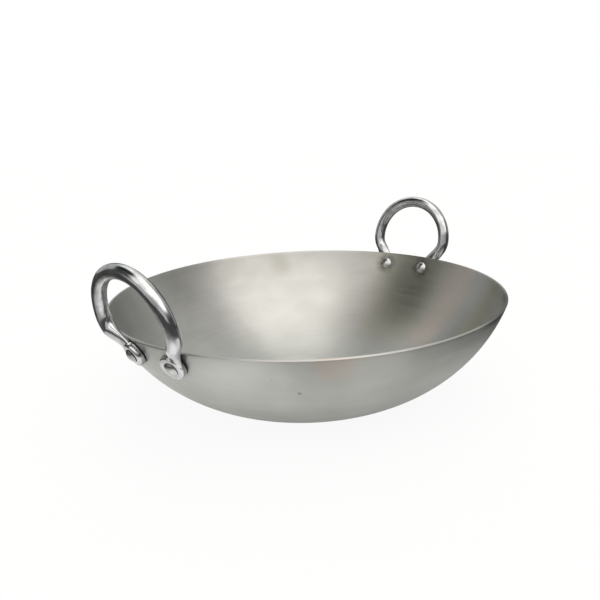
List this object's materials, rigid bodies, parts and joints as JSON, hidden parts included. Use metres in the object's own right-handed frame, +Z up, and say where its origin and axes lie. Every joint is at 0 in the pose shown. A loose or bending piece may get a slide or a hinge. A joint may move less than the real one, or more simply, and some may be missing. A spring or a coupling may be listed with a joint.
{
  "type": "kadai",
  "caption": "Round-bottomed steel cooking bowl with a small flat base and a ring handle riveted outside the rim on each side.",
  "frame": {"origin": "centre of the flat base, on its underside", "axes": "+Z up out of the bowl's mouth, +X towards the right handle, so the two handles stand on the X axis"},
  "size_m": [0.3414, 0.3048, 0.1355],
  "materials": {
    "bowl_steel": "satin, worn by scrubbing",
    "rod_steel": "polished",
    "rivet_steel": "hammered and polished"
  },
  "bodies": {
    "root": {"bowl": "bowl_steel", "handle_right": "rod_steel", "handle_left": "rod_steel", "rivet_right_back": "rivet_steel", "rivet_right_front": "rivet_steel", "rivet_left_back": "rivet_steel", "rivet_left_front": "rivet_steel"}
  },
  "joints": []
}
